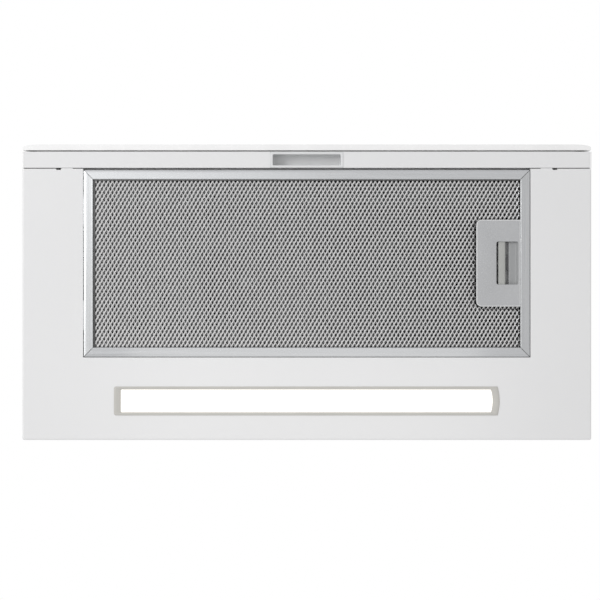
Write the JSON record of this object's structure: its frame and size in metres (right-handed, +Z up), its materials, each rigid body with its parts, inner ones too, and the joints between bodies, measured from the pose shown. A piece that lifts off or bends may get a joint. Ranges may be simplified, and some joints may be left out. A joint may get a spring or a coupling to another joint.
{
  "type": "under cabinet range hood",
  "caption": "Slim telescopic under cabinet hood: pull-out visor, mesh grease filter with latch, lamp bar, blower box with top duct outlet.",
  "frame": {"origin": "centre of the four-screw pattern on the canopy's top plane, which bolts up against the underside of the cabinet", "axes": "+X to the right facing the front, -Y towards the user, +Z up into the cabinet"},
  "size_m": [0.5998, 0.3111, 0.2248],
  "materials": {
    "white_paint": "satin",
    "zinc": "dull galvanised",
    "steel": "plated",
    "dark_steel": "dark varnish",
    "filter_aluminium": "satin",
    "latch_grey": "satin",
    "grip_grey": "satin",
    "white_plastic": "semi-gloss",
    "black_plastic": "matt",
    "grey_plastic": "matt",
    "bezel_grey": "satin",
    "lamp_diffuser": "opal, lit",
    "board_green": "lacquered",
    "diode_yellow": "gloss",
    "visor_glass": "clear tempered"
  },
  "bodies": {
    "hood": {"canopy_shell": "white_paint", "top_plate": "zinc", "canopy_rivets": "steel", "clip_nuts": "steel", "blower_box": "zinc", "blower_lid": "zinc", "outlet_collar": "black_plastic", "damper_spindle": "steel", "collar_screws": "steel", "lid_screws": "steel", "scroll_left": "grey_plastic", "scroll_right": "grey_plastic", "motor_can": "dark_steel", "motor_end_shield": "dark_steel", "motor_bearings": "steel", "motor_bracket": "zinc", "run_capacitor": "white_plastic", "junction_box": "black_plastic", "junction_cover": "black_plastic", "cable_gland": "black_plastic", "lamp_driver": "white_plastic", "lamp_bezel": "bezel_grey", "lamp_lens": "lamp_diffuser", "lamp_board": "board_green", "lamp_diodes": "diode_yellow", "lamp_heat_sink": "filter_aluminium", "rail_outer_left": "zinc", "rail_outer_right": "zinc", "rail_hangers": "zinc", "visor_switch": "black_plastic"},
    "visor": {"front_profile": "white_paint", "end_cap_left": "white_plastic", "end_cap_right": "white_plastic", "front_fascia": "white_plastic", "grip_insert": "grip_grey", "visor_frame": "white_paint", "visor_glass": "visor_glass", "rail_inner_left": "zinc", "rail_inner_right": "zinc", "control_board": "board_green", "button_switches": "black_plastic"},
    "runner_cages": {"ball_cages": "steel", "rail_balls": "steel"},
    "filter": {"filter_frame": "filter_aluminium", "filter_mesh_face": "filter_aluminium", "filter_mesh_pack": "filter_aluminium", "filter_mesh_back": "filter_aluminium", "latch_plate": "latch_grey", "latch_spring": "steel"},
    "latch": {"latch_bolt": "latch_grey"},
    "fan": {"impeller": "grey_plastic", "motor_rotor": "steel", "motor_shaft": "steel"},
    "flap_front": {"damper_flap_front": "black_plastic"},
    "flap_back": {"damper_flap_back": "black_plastic"},
    "button_light": {"button_light": "white_plastic"},
    "button_off": {"button_off": "white_plastic"},
    "button_slow": {"button_slow": "white_plastic"},
    "button_medium": {"button_medium": "white_plastic"},
    "button_fast": {"button_fast": "white_plastic"}
  },
  "joints": [
    {"name": "visor_slide", "type": "slide", "parent": "hood", "child": "visor", "axis": [0, -1, 0], "range_m": [0, 0.17]},
    {"name": "cage_slide", "type": "slide", "parent": "hood", "child": "runner_cages", "axis": [0, -1, 0], "range_m": [0, 0.085]},
    {"name": "filter_swing", "type": "hinge", "parent": "hood", "child": "filter", "pos_m": [-0.2348, -0.0434, -0.042], "axis": [0, 1, 0], "range_deg": [0, 60]},
    {"name": "latch_slide", "type": "slide", "parent": "filter", "child": "latch", "axis": [-1, 0, 0], "range_m": [0, 0.0064], "stiffness_N_per_m": 300, "deforming": ["latch_spring"]},
    {"name": "fan_spin", "type": "hinge", "parent": "hood", "child": "fan", "pos_m": [0, -0.024, 0.068], "axis": [1, 0, 0], "continuous": true},
    {"name": "flap_front_swing", "type": "hinge", "parent": "hood", "child": "flap_front", "pos_m": [0, 0, 0.151], "axis": [-1, 0, 0], "range_deg": [0, 75]},
    {"name": "flap_back_swing", "type": "hinge", "parent": "hood", "child": "flap_back", "pos_m": [0, 0, 0.151], "axis": [1, 0, 0], "range_deg": [0, 75]},
    {"name": "button_light_press", "type": "slide", "parent": "visor", "child": "button_light", "axis": [0, 1, 0], "range_m": [0, 0.0012], "stiffness_N_per_m": 800},
    {"name": "button_off_press", "type": "slide", "parent": "visor", "child": "button_off", "axis": [0, 1, 0], "range_m": [0, 0.0012], "stiffness_N_per_m": 800},
    {"name": "button_slow_press", "type": "slide", "parent": "visor", "child": "button_slow", "axis": [0, 1, 0], "range_m": [0, 0.0012], "stiffness_N_per_m": 800},
    {"name": "button_medium_press", "type": "slide", "parent": "visor", "child": "button_medium", "axis": [0, 1, 0], "range_m": [0, 0.0012], "stiffness_N_per_m": 800},
    {"name": "button_fast_press", "type": "slide", "parent": "visor", "child": "button_fast", "axis": [0, 1, 0], "range_m": [0, 0.0012], "stiffness_N_per_m": 800}
  ],
  "couplings": [
    {"joint": "cage_slide", "follows": "visor_slide", "ratio": 0.5}
  ]
}
